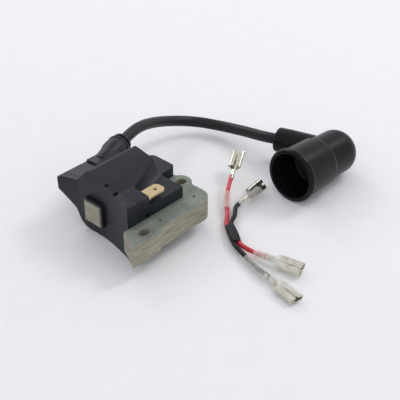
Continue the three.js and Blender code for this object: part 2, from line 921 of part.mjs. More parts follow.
function buildKillLead() {
  const axis = new THREE.Vector3(...SPLICE.to).sub(new THREE.Vector3(...SPLICE.from));
  const splice = facing(axis.toArray(), SPLICE.from);
  const { halfWide, halfHigh } = SPLICE;
  const section = roundedRect(0, 0, halfWide, halfHigh, halfHigh - 0.2);
  add(splice, "splice_heat_shrink", alongY(section, 0, axis.length(), 5), BLACK_PVC);
  for (const wire of WIRES) {
    add(part, wire.name, cord(wire.route, WIRE_D, 2 * wire.route.length, 8), wire.color);
    buildSleeve(wire, buildTerminalEnd(wire));
  }
}

buildCore();
buildFrontCover();
buildCase();
buildWindings();
buildResin();
buildModule();
buildTerminal();
buildOutlet();
buildLead();
buildBoot();
buildKillLead();

export default part;
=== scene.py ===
"""Small-engine ignition coil: laminated core, moulded case, spade terminal, high-tension lead
with its elbow boot, and a loose kill lead. Lengths are in millimetres until a mesh is made."""
import json
import math

import bmesh
import bpy
from mathutils import Matrix, Vector, noise


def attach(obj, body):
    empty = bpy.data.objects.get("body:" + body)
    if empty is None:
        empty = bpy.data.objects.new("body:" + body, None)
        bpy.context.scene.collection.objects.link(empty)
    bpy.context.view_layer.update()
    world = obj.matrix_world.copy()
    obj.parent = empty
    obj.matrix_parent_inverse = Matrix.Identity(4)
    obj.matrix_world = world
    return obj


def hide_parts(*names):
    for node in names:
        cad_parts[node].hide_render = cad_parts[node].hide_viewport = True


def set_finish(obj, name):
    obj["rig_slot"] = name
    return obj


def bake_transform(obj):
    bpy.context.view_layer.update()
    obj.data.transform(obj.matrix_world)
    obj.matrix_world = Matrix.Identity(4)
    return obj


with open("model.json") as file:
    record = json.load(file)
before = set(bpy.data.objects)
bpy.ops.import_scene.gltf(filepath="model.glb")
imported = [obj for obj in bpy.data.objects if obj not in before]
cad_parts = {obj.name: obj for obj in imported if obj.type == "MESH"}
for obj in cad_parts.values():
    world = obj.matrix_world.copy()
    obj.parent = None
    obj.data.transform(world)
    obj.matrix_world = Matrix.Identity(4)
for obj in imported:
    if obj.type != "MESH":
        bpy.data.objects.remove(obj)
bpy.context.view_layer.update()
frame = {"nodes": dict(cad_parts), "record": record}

MM = 0.001
COIL = Vector((-4, -17.5, 17))  # the wound leg's pole face, at the core's top
BENCH = -17
POLE_R = 71

# ---------- camera, floor and light ----------

CAMERA = {"azimuth": 42.73, "elevation": 34.48, "distance": 393.5, "aim": (30.08, 15.46, 18.57)}
LENS = 81
SENSOR = 36
SKY = {"color": (0.95, 0.96, 0.985, 1), "strength": 0.82}
LIGHT_AIM = (0.01, 0.02, 0.01)
LIGHTS = {
    "key": {"place": (0.25, 0.75, 0.8), "size": 0.35, "power": 2.4},
    "fill": {"place": (0.5, -0.7, 0.6), "size": 0.8, "power": 0.7},
    "rim": {"place": (-0.7, 0.3, 0.55), "size": 0.3, "power": 0.9},
}
FLOOR_HALF = 2500
FLOOR_COLOR = (0.84, 0.845, 0.86)


def make_camera():
    azimuth = math.radians(CAMERA["azimuth"])
    elevation = math.radians(CAMERA["elevation"])
    right = Vector((math.cos(azimuth), math.sin(azimuth), 0))
    look = Vector((-math.sin(azimuth) * math.cos(elevation),
                   math.cos(azimuth) * math.cos(elevation),
                   -math.sin(elevation)))
    up = right.cross(look)
    data = bpy.data.cameras.new("camera")
    data.lens = LENS
    data.sensor_width = SENSOR
    data.clip_start = 0.01
    camera = bpy.data.objects.new("camera", data)
    bpy.context.scene.collection.objects.link(camera)
    turn = Matrix((right, up, -look)).transposed().to_4x4()
    place = Vector(CAMERA["aim"]) - look * CAMERA["distance"]
    camera.matrix_world = Matrix.Translation(place * MM) @ turn
    bpy.context.scene.camera = camera


def area_light(name, place, size, power):
    data = bpy.data.lights.new(name, "AREA")
    data.shape = "DISK"
    data.size = size
    data.energy = power
    light = bpy.data.objects.new(name, data)
    light.location = place
    toward = Vector(LIGHT_AIM) - Vector(place)
    light.rotation_euler = toward.to_track_quat("-Z", "Y").to_euler()
    bpy.context.scene.collection.objects.link(light)


def make_studio():
    scene = bpy.context.scene
    scene.view_settings.view_transform = "Standard"
    world = bpy.data.worlds.new("studio")
    scene.world = world
    world.use_nodes = True
    sky = world.node_tree.nodes["Background"]
    sky.inputs["Color"].default_value = SKY["color"]
    sky.inputs["Strength"].default_value = SKY["strength"]
    for name, light in LIGHTS.items():
        area_light(name, **light)
    floor = mesh_piece("floor", *plane_of(FLOOR_HALF))
    floor.data.materials.append(surface("floor_paper", FLOOR_COLOR, 0.75, spread=0.01))


# ---------- meshes ----------


def plane_of(half):
    corners = [(-half, -half, 0), (half, -half, 0), (half, half, 0), (-half, half, 0)]
    return corners, [(0, 1, 2, 3)]


def mesh_piece(name, points, faces, shift=(0, 0, 0)):
    mesh = bpy.data.meshes.new(name)
    mesh.from_pydata([(Vector(p) + Vector(shift)) * MM for p in points], [], faces)
    made = bmesh.new()
    made.from_mesh(mesh)
    bmesh.ops.recalc_face_normals(made, faces=made.faces)
    made.to_mesh(mesh)
    made.free()
    piece = bpy.data.objects.new(name, mesh)
    bpy.context.scene.collection.objects.link(piece)
    return piece


def rounded(corners, steps=6, closed=True):
    """Corners as (a, b) or (a, b, radius), with an arc at each that has a radius."""
    out = []
    count = len(corners)
    for i, corner in enumerate(corners):
        p = Vector(corner[:2])
        inside = closed or 0 < i < count - 1
        if len(corner) < 3 or not inside:
            out.append(p)
            continue
        to_last = Vector(corners[i - 1][:2]) - p
        to_next = Vector(corners[(i + 1) % count][:2]) - p
        half = to_last.angle(to_next) / 2
        reach = min(corner[2] / math.tan(half), 0.49 * to_last.length, 0.49 * to_next.length)
        radius = reach * math.tan(half)
        middle = (to_last.normalized() + to_next.normalized()).normalized()
        centre = p + middle * (radius / math.sin(half))
        start = p + to_last.normalized() * reach - centre
        end = p + to_next.normalized() * reach - centre
        sweep = start.angle_signed(end)
        for step in range(steps + 1):
            out.append(centre + Matrix.Rotation(-sweep * step / steps, 2) @ start)
    return out


def prism(name, outline, low, high, axis="z", shift=COIL):
    """An outline in X and Y raised along Z, or one in X and Z drawn along Y."""
    count = len(outline)
    place = (lambda a, b, h: (a, b, h)) if axis == "z" else (lambda a, b, h: (a, h, b))
    points = [place(a, b, h) for h in (low, high) for a, b in outline]
    sides = [(i, (i + 1) % count, count + (i + 1) % count, count + i) for i in range(count)]
    caps = [tuple(reversed(range(count))), tuple(range(count, 2 * count))]
    return mesh_piece(name, points, sides + caps, shift)


def turned(name, profile, segments=64, place=Matrix.Identity(4)):
    """A profile of (radius, y) turned about Y, closed on the axis or on itself."""
    points = []
    rings = []
    for radius, y in profile:
        if radius < 1e-6:
            rings.append([len(points)])
            points.append((0, y, 0))
            continue
        rings.append(list(range(len(points), len(points) + segments)))
        for i in range(segments):
            a = 2 * math.pi * i / segments
            points.append((radius * math.cos(a), y, radius * math.sin(a)))
    faces = []
    pairs = list(zip(rings, rings[1:]))
    if len(rings[0]) > 1:
        pairs.append((rings[-1], rings[0]))
    for one, two in pairs:
        for i in range(segments):
            j = (i + 1) % segments
            face = [one[i % len(one)], one[j % len(one)], two[j % len(two)], two[i % len(two)]]
            unique = list(dict.fromkeys(face))
            if len(unique) > 2:
                faces.append(unique)
    return mesh_piece(name, [place @ Vector(p) for p in points], faces)


def facing(heading, at):
    """A frame whose +Y points along heading and whose +Z stays as near up as it can."""
    y = Vector(heading).normalized()
    x = y.cross(Vector((0, 0, 1))).normalized()
    z = x.cross(y)
    return Matrix.Translation(Vector(at)) @ Matrix((x, y, z)).transposed().to_4x4()


def smooth_line(points, step=1.0):
    """A centripetal Catmull-Rom curve through the points, as points about a step apart."""
    p = [Vector(q) for q in points]
    p = [2 * p[0] - p[1]] + p + [2 * p[-1] - p[-2]]
    out = []
    for i in range(1, len(p) - 2):
        t = [0.0]
        for j in range(3):
            t.append(t[-1] + (p[i + j] - p[i + j - 1]).length ** 0.5)
        count = max(2, round((p[i + 1] - p[i]).length / step))
        for k in range(count):
            x = t[1] + (t[2] - t[1]) * k / count
            a = [p[i + j - 1].lerp(p[i + j], (x - t[j]) / (t[j + 1] - t[j])) for j in range(3)]
            b = [a[j].lerp(a[j + 1], (x - t[j]) / (t[j + 2] - t[j])) for j in range(2)]
            out.append(b[0].lerp(b[1], (x - t[1]) / (t[2] - t[1])))
    return out + [p[-2]]


def frames_along(line):
    """A frame at each point of a line, its +Y along the line and its +Z near up."""
    out = []
    for i, point in enumerate(line):
        ahead = line[min(i + 1, len(line) - 1)] - line[max(i - 1, 0)]
        out.append(facing(ahead, point))
    return out


def loft(name, places, sections, caps=True):
    """Sections in local X and Z, all with as many points, each in its own frame."""
    count = len(sections[0])
    points = [m @ Vector((a, 0, b)) for m, s in zip(places, sections) for a, b in s]
    faces = []
    for ring in range(len(sections) - 1):
        base = ring * count
        for i in range(count):
            j = (i + 1) % count
            faces.append((base + i, base + j, base + count + j, base + count + i))
    if caps:
        last = count * (len(sections) - 1)
        faces.append(tuple(reversed(range(count))))
        faces.append(tuple(range(last, last + count)))
    return mesh_piece(name, points, faces)


def oval(half_wide, half_high, count=28, power=2.0):
    """A superellipse in X and Z."""
    out = []
    for i in range(count):
        a = 2 * math.pi * i / count
        c, s = math.cos(a), math.sin(a)
        out.append((half_wide * math.copysign(abs(c) ** (2 / power), c),
                    half_high * math.copysign(abs(s) ** (2 / power), s)))
    return out


def bake_modifiers(piece):
    graph = bpy.context.evaluated_depsgraph_get()
    piece.data = bpy.data.meshes.new_from_object(piece.evaluated_get(graph))
    piece.modifiers.clear()


def boolean(piece, operation, *tools):
    """Joins or cuts at a thousand times the size, which keeps the solver's small limits small."""
    for solid in (piece, *tools):
        solid.data.transform(Matrix.Scale(1 / MM, 4))
    for tool in tools:
        step = piece.modifiers.new("boolean", "BOOLEAN")
        step.operation = operation
        step.solver = "MANIFOLD"
        step.object = tool
    bake_modifiers(piece)
    piece.data.transform(Matrix.Scale(MM, 4))
    for tool in tools:
        bpy.data.objects.remove(tool)
    return piece


def shade(piece, angle=35):
    piece.data.polygons.foreach_set("use_smooth", [True] * len(piece.data.polygons))
    piece.data.set_sharp_from_angle(angle=math.radians(angle))
    return piece


def soften(piece, width, segments=3, angle=30):
    """Rounds a piece's sharp edges."""
    merge = piece.modifiers.new("flat", "DECIMATE")
    merge.decimate_type = "DISSOLVE"
    merge.angle_limit = math.radians(0.4)
    bevel = piece.modifiers.new("edges", "BEVEL")
    bevel.width = width * MM
    bevel.segments = segments
    bevel.limit_method = "ANGLE"
    bevel.angle_limit = math.radians(angle)
    bevel.use_clamp_overlap = True
    bake_modifiers(piece)
    return shade(piece, 50)


def joined(name, pieces):
    made = bmesh.new()
    for piece in pieces:
        made.from_mesh(piece.data)
        bpy.data.objects.remove(piece)
    mesh = bpy.data.meshes.new(name)
    made.to_mesh(mesh)
    made.free()
    out = bpy.data.objects.new(name, mesh)
    bpy.context.scene.collection.objects.link(out)
    return out


def wired(piece, material, body, slot, *nodes):
    """Gives a piece its material, its body, its slot and the CAD nodes that it stands for."""
    piece.data.materials.clear()
    piece.data.materials.append(material)
    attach(piece, body)
    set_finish(piece, slot)
    if nodes:
        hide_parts(*nodes)
    return piece


# ---------- materials ----------


def node(tree, kind, **inputs):
    made = tree.nodes.new(kind)
    for key, value in inputs.items():
        made.inputs[key.replace("_", " ")].default_value = value
    return made


def ramp(tree, source, low, high, at=(0.35, 0.65)):
    made = tree.nodes.new("ShaderNodeValToRGB")
    made.color_ramp.elements[0].position = at[0]
    made.color_ramp.elements[1].position = at[1]
    made.color_ramp.elements[0].color = (*low, 1)
    made.color_ramp.elements[1].color = (*high, 1)
    tree.links.new(source, made.inputs["Fac"])
    return made


def blank(name, metallic=0.0):
    made = bpy.data.materials.new(name)
    made.use_nodes = True
    tree = made.node_tree
    shader = tree.nodes["Principled BSDF"]
    shader.inputs["Metallic"].default_value = metallic
    place = tree.nodes.new("ShaderNodeTexCoord")
    return made, tree, shader, place.outputs["Object"]


def cloud(tree, place, scale, detail=4.0, stretch=None):
    """Noise, with features about 1/scale metres across."""
    if stretch:
        squeeze = tree.nodes.new("ShaderNodeMapping")
        squeeze.inputs["Scale"].default_value = stretch
        tree.links.new(place, squeeze.inputs["Vector"])
        place = squeeze.outputs["Vector"]
    made = node(tree, "ShaderNodeTexNoise", Scale=scale, Detail=detail, Roughness=0.6)
    tree.links.new(place, made.inputs["Vector"])
    return made.outputs["Fac"]


def scaled(color, by):
    return tuple(min(1, c * by) for c in color)


def surface(name, color, rough, *, metallic=0.0, spread=0.12, patch=90, grain=1800, bump=0.02,
            coat=0.0, shine=0.5, rough_spread=0.08, stretch=None):
    """Colour that varies in patches, with roughness and a fine bump from a finer grain."""
    made, tree, shader, place = blank(name, metallic)
    broad = cloud(tree, place, patch)
    fine = cloud(tree, place, grain, 3.0, stretch)
    tint = ramp(tree, broad, scaled(color, 1 - spread), scaled(color, 1 + spread))
    tree.links.new(tint.outputs["Color"], shader.inputs["Base Color"])
    level = tree.nodes.new("ShaderNodeMapRange")
    level.inputs["To Min"].default_value = rough - rough_spread
    level.inputs["To Max"].default_value = rough + rough_spread
    tree.links.new(fine, level.inputs["Value"])
    tree.links.new(level.outputs["Result"], shader.inputs["Roughness"])
    relief = tree.nodes.new("ShaderNodeBump")
    relief.inputs["Distance"].default_value = bump * MM
    tree.links.new(fine, relief.inputs["Height"])
    tree.links.new(relief.outputs["Normal"], shader.inputs["Normal"])
    shader.inputs["Coat Weight"].default_value = coat
    shader.inputs["Specular IOR Level"].default_value = shine
    return made


def lamination_steel():
    """Bare stamped sheet: a grey-green top, speckled oil and rust, and yellowed cut edges."""
    made, tree, shader, place = blank("lamination_steel", 0.3)
    broad = cloud(tree, place, 130)
    speck = cloud(tree, place, 1500, 5.0)
    edge = cloud(tree, place, 900, 3.0, (0.12, 0.12, 1))
    flat = ramp(tree, broad, (0.155, 0.18, 0.155), (0.235, 0.255, 0.22))
    side = ramp(tree, edge, (0.27, 0.25, 0.19), (0.42, 0.39, 0.3))
    where = tree.nodes.new("ShaderNodeNewGeometry")
    split = tree.nodes.new("ShaderNodeSeparateXYZ")
    tree.links.new(where.outputs["Normal"], split.inputs["Vector"])
    upright = tree.nodes.new("ShaderNodeMath")
    upright.operation = "ABSOLUTE"
    tree.links.new(split.outputs["Z"], upright.inputs[0])
    faces = tree.nodes.new("ShaderNodeMix")
    faces.data_type = "RGBA"
    tree.links.new(upright.outputs["Value"], faces.inputs["Factor"])
    tree.links.new(side.outputs["Color"], faces.inputs["A"])
    tree.links.new(flat.outputs["Color"], faces.inputs["B"])
    stain = ramp(tree, speck, (0.55, 0.42, 0.3), (1, 1, 1), (0.3, 0.42))
    tinted = tree.nodes.new("ShaderNodeMix")
    tinted.data_type = "RGBA"
    tinted.blend_type = "MULTIPLY"
    tinted.inputs["Factor"].default_value = 0.75
    tree.links.new(faces.outputs["Result"], tinted.inputs["A"])
    tree.links.new(stain.outputs["Color"], tinted.inputs["B"])
    tree.links.new(tinted.outputs["Result"], shader.inputs["Base Color"])
    level = tree.nodes.new("ShaderNodeMapRange")
    level.inputs["To Min"].default_value = 0.42
    level.inputs["To Max"].default_value = 0.7
    tree.links.new(speck, level.inputs["Value"])
    tree.links.new(level.outputs["Result"], shader.inputs["Roughness"])
    relief = tree.nodes.new("ShaderNodeBump")
    relief.inputs["Distance"].default_value = 0.03 * MM
    tree.links.new(speck, relief.inputs["Height"])
    tree.links.new(relief.outputs["Normal"], shader.inputs["Normal"])
    return made


def clear_pvc():
    """Clear tube that has yellowed a little and turns milky where it is thick."""
    made, tree, shader, place = blank("clear_pvc")
    milk = cloud(tree, place, 260, 3.0)
    tint = ramp(tree, milk, (0.78, 0.76, 0.68), (0.95, 0.95, 0.93))
    tree.links.new(tint.outputs["Color"], shader.inputs["Base Color"])
    level = tree.nodes.new("ShaderNodeMapRange")
    level.inputs["To Min"].default_value = 0.1
    level.inputs["To Max"].default_value = 0.32
    tree.links.new(milk, level.inputs["Value"])
    tree.links.new(level.outputs["Result"], shader.inputs["Alpha"])
    shader.inputs["Roughness"].default_value = 0.18
    return made


def make_materials():
    return {
        "lamination_steel": lamination_steel(),
        "case_plastic": surface("case_plastic", (0.009, 0.0115, 0.0165), 0.42, patch=60, bump=0.012,
                                spread=0.2, grain=2600, shine=0.3),
        "bobbin_plastic": surface("bobbin_plastic", (0.012, 0.013, 0.016), 0.3, coat=0.3),
        "copper_wire": surface("copper_wire", (0.5, 0.17, 0.07), 0.3, metallic=0.9, bump=0.05,
                               stretch=(0.1, 1, 0.1)),
        "potting_resin": surface("potting_resin", (0.012, 0.012, 0.012), 0.2, patch=200,
                                 grain=350, bump=0.15, coat=0.5),
        "circuit_board": surface("circuit_board", (0.03, 0.16, 0.07), 0.45),
        "chip_plastic": surface("chip_plastic", (0.012, 0.012, 0.012), 0.55),
        "ceramic": surface("ceramic", (0.45, 0.2, 0.05), 0.35, coat=0.4),
        "brass_terminal": surface("brass_terminal", (0.6, 0.47, 0.26), 0.34, metallic=0.7,
                                  spread=0.06, bump=0.01, stretch=(1, 0.08, 1)),
        "lead_rubber": surface("lead_rubber", (0.006, 0.008, 0.01), 0.4, bump=0.02, shine=0.3),
        "boot_rubber": surface("boot_rubber", (0.004, 0.005, 0.006), 0.32, patch=45, bump=0.015,
                               spread=0.3, shine=0.18),
        "tinned_metal": surface("tinned_metal", (0.66, 0.63, 0.53), 0.24, metallic=0.95,
                                patch=500, spread=0.15, bump=0.01),
        "red_wire_pvc": surface("red_wire_pvc", (0.6, 0.012, 0.03), 0.32, coat=0.2),
        "black_wire_pvc": surface("black_wire_pvc", (0.008, 0.008, 0.009), 0.34, shine=0.3),
        "clear_pvc": clear_pvc(),
        "heat_shrink": surface("heat_shrink", (0.007, 0.008, 0.009), 0.42, bump=0.05, grain=900,
                               shine=0.3),
    }


# ---------- laminated core ----------

SHEETS = 10
SHEET_PITCH = 1.02
HALF_SHEET = 0.49
LEG_HALF = 4.8
WINDOW_X = 25.2
SIDE_X = 34.7
TIP_X = 35.9
PAD = {"x": 36.56, "near": -9.9, "from": -2, "to": 6.2, "fades": 7.7}
YOKE_IN = 31.5
YOKE_OUT = 41.5
YOKE_FAR_X = -4.8
CORNER_R = 8
EAR = {"x": 15.8, "y": 39.45, "r": 5.3, "half": 58, "foot": 6, "neck": 5.4}
SLOTS = ((16.2, 39.6), (31.4, 1.2))
SLOT_R = 2.15
SLOT_HALF = 0.5
INTERLOCKS = ((28.5, 35), (30, 12.2), (0.5, 36.5))
MARK = {"half": 1.1, "back": 0.6, "tip": 0.8}
THROUGH = (-20, 5)  # heights below and above the whole stack
SHEET_EDGE = 0.07
SHEET_SLIP = 0.05  # how far the sheets stray from a true stack


def pole_arc(x, radius=POLE_R):
    return math.sqrt(radius * radius - x * x) - POLE_R


def core_outline():
    pole = [WINDOW_X + (TIP_X - WINDOW_X) * i / 8 for i in range(9)]
    ear = [math.radians(90 - EAR["half"] + 2 * EAR["half"] * i / 18) for i in range(19)]
    return (
        [(-LEG_HALF, pole_arc(LEG_HALF)), (0, 0), (LEG_HALF, pole_arc(LEG_HALF))]
        + [(LEG_HALF, YOKE_IN), (WINDOW_X, YOKE_IN)]
        + [(x, pole_arc(x)) for x in pole]
        + rounded([(TIP_X, PAD["near"]), (PAD["x"], PAD["from"], 1), (PAD["x"], PAD["to"], 3),
                   (SIDE_X, PAD["fades"], 3), (SIDE_X, YOKE_OUT, CORNER_R),
                   (EAR["x"] + EAR["neck"], YOKE_OUT, 1)], closed=False)[1:-1]
        + [(EAR["x"] + EAR["foot"], YOKE_OUT)]
        + [(EAR["x"] + EAR["r"] * math.cos(a), EAR["y"] + EAR["r"] * math.sin(a)) for a in ear]
        + [(EAR["x"] - EAR["foot"], YOKE_OUT)]
        + rounded([(0, YOKE_OUT), (YOKE_FAR_X, YOKE_OUT, 2), (YOKE_FAR_X, 20)], closed=False)[1:-1]
    )


def slot_cutter(x, y):
    ring = []
    for i in range(32):
        a = 2 * math.pi * (i + 0.5) / 32
        shift = math.copysign(SLOT_HALF, math.sin(a))
        ring.append((x + SLOT_R * math.cos(a), y + SLOT_R * math.sin(a) + shift))
    return prism("slot", ring, *THROUGH)


def interlock_cutter(x, y):
    half, back = MARK["half"], y - MARK["back"]
    return prism("mark", [(x - half, back), (x + half, back), (x, y + MARK["tip"])], *THROUGH)


def build_core(material):
    """Each plate of the CAD stack as the two thin sheets that it stands for."""
    cutters = [slot_cutter(*at) for at in SLOTS] + [interlock_cutter(*at) for at in INTERLOCKS]
    blank_sheet = prism("sheet", core_outline(), -HALF_SHEET, 0)
    boolean(blank_sheet, "DIFFERENCE", *cutters)
    soften(blank_sheet, SHEET_EDGE, 2)
    for i in range(SHEETS):
        top = -i * SHEET_PITCH
        copies = []
        for half in range(2):
            copy = bpy.data.objects.new("copy", blank_sheet.data.copy())
            bpy.context.scene.collection.objects.link(copy)
            slip = SHEET_SLIP * noise.noise(Vector((i * 3.1 + half * 1.7, 0.5, 0.2)))
            drop = top - half * SHEET_PITCH / 2
            copy.data.transform(Matrix.Translation(Vector((slip, slip / 2, drop)) * MM))
            copies.append(copy)
        number = f"{i + 1:02d}"
        pair = shade(joined(f"core_sheets_{number}", copies), 50)
        wired(pair, material, "coil", "lamination_steel", f"core_lamination_{number}")
    bpy.data.objects.remove(blank_sheet)


# ---------- case ----------

FACE_GAP = 2.3
CASE_FRONT = 3.9
CASE_BACK = 31.2
CORE_DEPTH = SHEETS * SHEET_PITCH
PLATFORM_Y = 10.8
PLATFORM_Z = 5.7
PLATFORM_END = 33
CASE_TOP = 16
COVER_NOTCHES = ((7.4, 11.6), (13.7, 10.2))
NOTCH_WIDE = 1.5
SEAM = 0.03  # half the gap between the cover and the case
CASE_EDGE = 0.3
LEG_HOLE = 1.1  # round the wound leg
SHELF_Y = (15.5, 30)  # the ledge under the outlet tower
LUG_Z = (0.3, 5)
WALL_STEPS = 16
OUTLET = {"x": -24, "y": 41.2, "z": 4, "yaw": 20}
LEAD_D = 5.5
WIRE_D = 2.1


def case_outline():
    """The case seen from the flywheel, in X and Z, with its edges rounded."""
    return rounded([
        (-21.6, 5.2, 0.9), (-20.6, 6.4, 0.9), (-10.2, 7.4, 2.4), (-5.6, 13.2, 0.8),
        (-4.5, 14.35, 1.5), (-3, 14.4, 1.8), (8.5, 12.4, 3), (14.8, 11, 3), (25.4, 10.6, 1.1),
        (25.4, 0.2, 0.2), (24.9, 0.2), (24.9, -CORE_DEPTH - 0.3), (27.4, -CORE_DEPTH - 0.3, 0.4),
        (27.4, -15.6, 1), (18, BENCH, 4), (-4, BENCH, 3), (-7.2, -16.3, 2), (-9.8, -14, 2),
        (-12.3, -8.2, 2), (-21.4, -0.8, 1.6),
    ])


def cavity_outline():
    return [(-19.9, 0.1), (-19.9, 4.7), (-9.4, 5.7), (-4.6, 11.8), (-3.4, 12.7), (7.6, 10.9),
            (9.2, 4.2), (23.4, 4.2), (23.4, -15.1), (17.6, -15.5), (-3.6, -15.5),
            (-6.4, -14.8), (-8.4, -13.2), (-10.9, -7.4)]


def leg_outline(grown):
    x, z = LEG_HALF + grown, CORE_DEPTH / 2 + grown
    middle = -CORE_DEPTH / 2
    corners = [(x, z), (-x, z), (-x, -z), (x, -z)]
    return rounded([(a, middle + b, grown + 0.1) for a, b in corners], 4)


def on_outlet(name, profile, segments=56):
    yaw = math.radians(OUTLET["yaw"])
    at = COIL + Vector((OUTLET["x"], OUTLET["y"], OUTLET["z"]))
    return turned(name, profile, segments, facing((-math.sin(yaw), math.cos(yaw), 0), at))


def flywheel_sweep():
    radius = POLE_R + FACE_GAP
    ring = []
    for i in range(360):
        a = 2 * math.pi * i / 360
        ring.append((radius * math.cos(a), radius * math.sin(a) - POLE_R))
    return prism("sweep", ring, -40, 40)


def build_cover(material):
    cover = prism("case_cover", case_outline(), -8, CASE_FRONT - SEAM, "y")
    tools = [flywheel_sweep(), prism("hole", leg_outline(LEG_HOLE), -12, 12, "y")]
    for x, z in COVER_NOTCHES:
        far = x + NOTCH_WIDE
        notch = [(x, z), (far, z), (far, CASE_TOP), (x, CASE_TOP)]
        tools.append(prism("notch", notch, -3, 3.2, "y"))
    boolean(cover, "DIFFERENCE", *tools)
    soften(cover, CASE_EDGE)
    wired(cover, material, "coil", "case_plastic", "case_front_cover")


def platform_cutter():
    """Leaves the low platform for the terminal, with a wall that curves down to it."""
    places = []
    sections = []
    for step in range(13):
        along = step / 12
        y = PLATFORM_Y + (PLATFORM_END - PLATFORM_Y) * along
        foot = 17.3 - 4.2 * along
        brow = 15.6 - 10.2 * along
        drop = CASE_TOP - PLATFORM_Z
        wall = []
        for turn in range(WALL_STEPS + 1):
            a = math.pi / 2 * turn / WALL_STEPS
            lean = (1 - math.cos(a)) ** 0.8
            wall.append((brow + (foot + 1.4 - brow) * lean, CASE_TOP - drop * math.sin(a) ** 0.9))
        section = wall + [(SIDE_X, PLATFORM_Z), (SIDE_X, CASE_TOP)]
        places.append(Matrix.Translation(COIL + Vector((0, y, 0))))
        sections.append(section)
    return loft("platform", places, sections)


def build_case(material):
    body = prism("case_body", case_outline(), CASE_FRONT + SEAM, CASE_BACK, "y")
    shelf = prism("shelf", rounded([(-20.4, 0.5, 1), (-12, 0.5), (-12, 7.9), (-20.4, 7.9, 1.2)]),
                  *SHELF_Y, "y")
    tower = on_outlet("tower", rounded([
        (0, -22), (4.4, -22), (4.9, -14, 2), (5.6, -10.4, 1), (5.6, -6.3, 0.5), (5.2, -5.9),
        (5.2, -5.2), (5.6, -4.8, 0.5), (5.6, -3.9, 0.5), (4.6, -3.1, 0.3), (0, -3.1)],
        3, closed=False))
    lug = prism("lug", rounded([(-4.8, 27, 2), (10.6, 27, 2), (10.6, 42, 2.6), (-4.8, 42, 2.6)]),
                *LUG_Z)
    boolean(body, "UNION", shelf, tower, lug)
    tools = [
        platform_cutter(),
        prism("well", cavity_outline(), CASE_FRONT - 2, CASE_BACK - 1.5, "y"),
        prism("mouth", cavity_outline(), CASE_BACK - 2, CASE_BACK + 0.5, "y"),
        prism("tab_slot", [(17.6, 7.7), (25, 7.7), (25, 9.1), (17.6, 9.1)], 5.6, 13, "y"),
        prism("drip", [(23.8, 0), (26, 0), (26, 2.4), (24.9, 2.4)], 8.2, 10.6, "y"),
    ]
    boolean(body, "DIFFERENCE", *tools)
    soften(body, CASE_EDGE)
    wired(body, material, "coil", "case_plastic", "coil_case")


def build_grommet(material):
    ring = on_outlet("outlet_grommet", rounded([
        (2.9, -2.8), (4.1, -2.8), (4.1, -1.9), (4.85, -1.8, 0.3), (4.85, 0, 0.7), (2.85, 0, 0.5)],
        4))
    wired(shade(ring), material, "coil", "lead_rubber", "lead_grommet")


SLOT_OF = {row["node"]: row["material_slot"] for row in frame["record"]["subparts"]}


def dress_cad_nodes(materials):
    """Gives each CAD node that stays the material of its slot."""
    for name, piece in frame["nodes"].items():
        if piece.hide_render:
            continue
        slot = piece.get("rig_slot") or SLOT_OF[name]
        piece.data.materials.clear()
        piece.data.materials.append(materials[slot])


# ---------- lead and boot ----------

LEAD_ROUTE = [
    (-28.1, 24, 21), (-29.5, 27.8, 21.1), (-31.1, 32.6, 21), (-32.8, 37.8, 20.4),
    (-34.6, 44.2, 19), (-36.2, 51.3, 16.7), (-37.2, 58.5, 14.1), (-37.3, 65.2, 11.6),
    (-36.2, 71.5, 9.5), (-33.7, 77.2, 7.8), (-29.7, 81.8, 6.7), (-24.4, 85, 6.2),
    (-18.3, 86.8, 6.5), (-11.9, 87.4, 7.4), (-5.8, 87.3, 8.6), (-0.2, 87, 9.7),
    (5.2, 86.7, 10.7), (10.1, 86.7, 11.6), (14.5, 87.4, 12.15),
]
BOOT = {"rim": (42.5, 63.7, 13.3), "axis": (0.03, 1, -0.04), "length": 43.5, "elbow": 32,
        "rim_r": 13.2, "cup_r": 12.4, "cup_length": 20, "neck_r": 10.9, "inlet_r": 6.1,
        "mouth": (15.6, 87.55, 12.35), "bore_r": 6.6, "bore_end": 36.5,
        "dome_flat": 0.86, "lead_r": 2.85, "lead_depth": 6}
SPRING = {"r": 4.2, "from": 28, "long": 7, "turns": 4, "steps": 40, "wire_r": 0.5}
LEAD_STEP = 0.8
LEAD_IN_BOOT = 5.8
LEAD_IN_GROMMET = 1.9


def build_lead(material):
    mouth = Vector(BOOT["mouth"])
    place = facing(BOOT["axis"], BOOT["rim"])
    elbow = place @ Vector((0, BOOT["elbow"], 0))
    inside = mouth + (elbow - mouth).normalized() * LEAD_IN_BOOT
    yaw = math.radians(OUTLET["yaw"])
    outwards = Vector((-math.sin(yaw), math.cos(yaw), 0))
    first = Vector(LEAD_ROUTE[0]) - outwards * LEAD_IN_GROMMET
    line = smooth_line([first, *LEAD_ROUTE, inside], LEAD_STEP)
    ring = oval(LEAD_D / 2, LEAD_D / 2, 40)
    lead = loft("high_tension_lead", frames_along(line), [ring] * len(line))
    shade(lead)
    lead.data.materials.append(material)
    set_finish(lead, "lead_rubber")
    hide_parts("ht_lead", "ht_lead_end")
    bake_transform(lead)


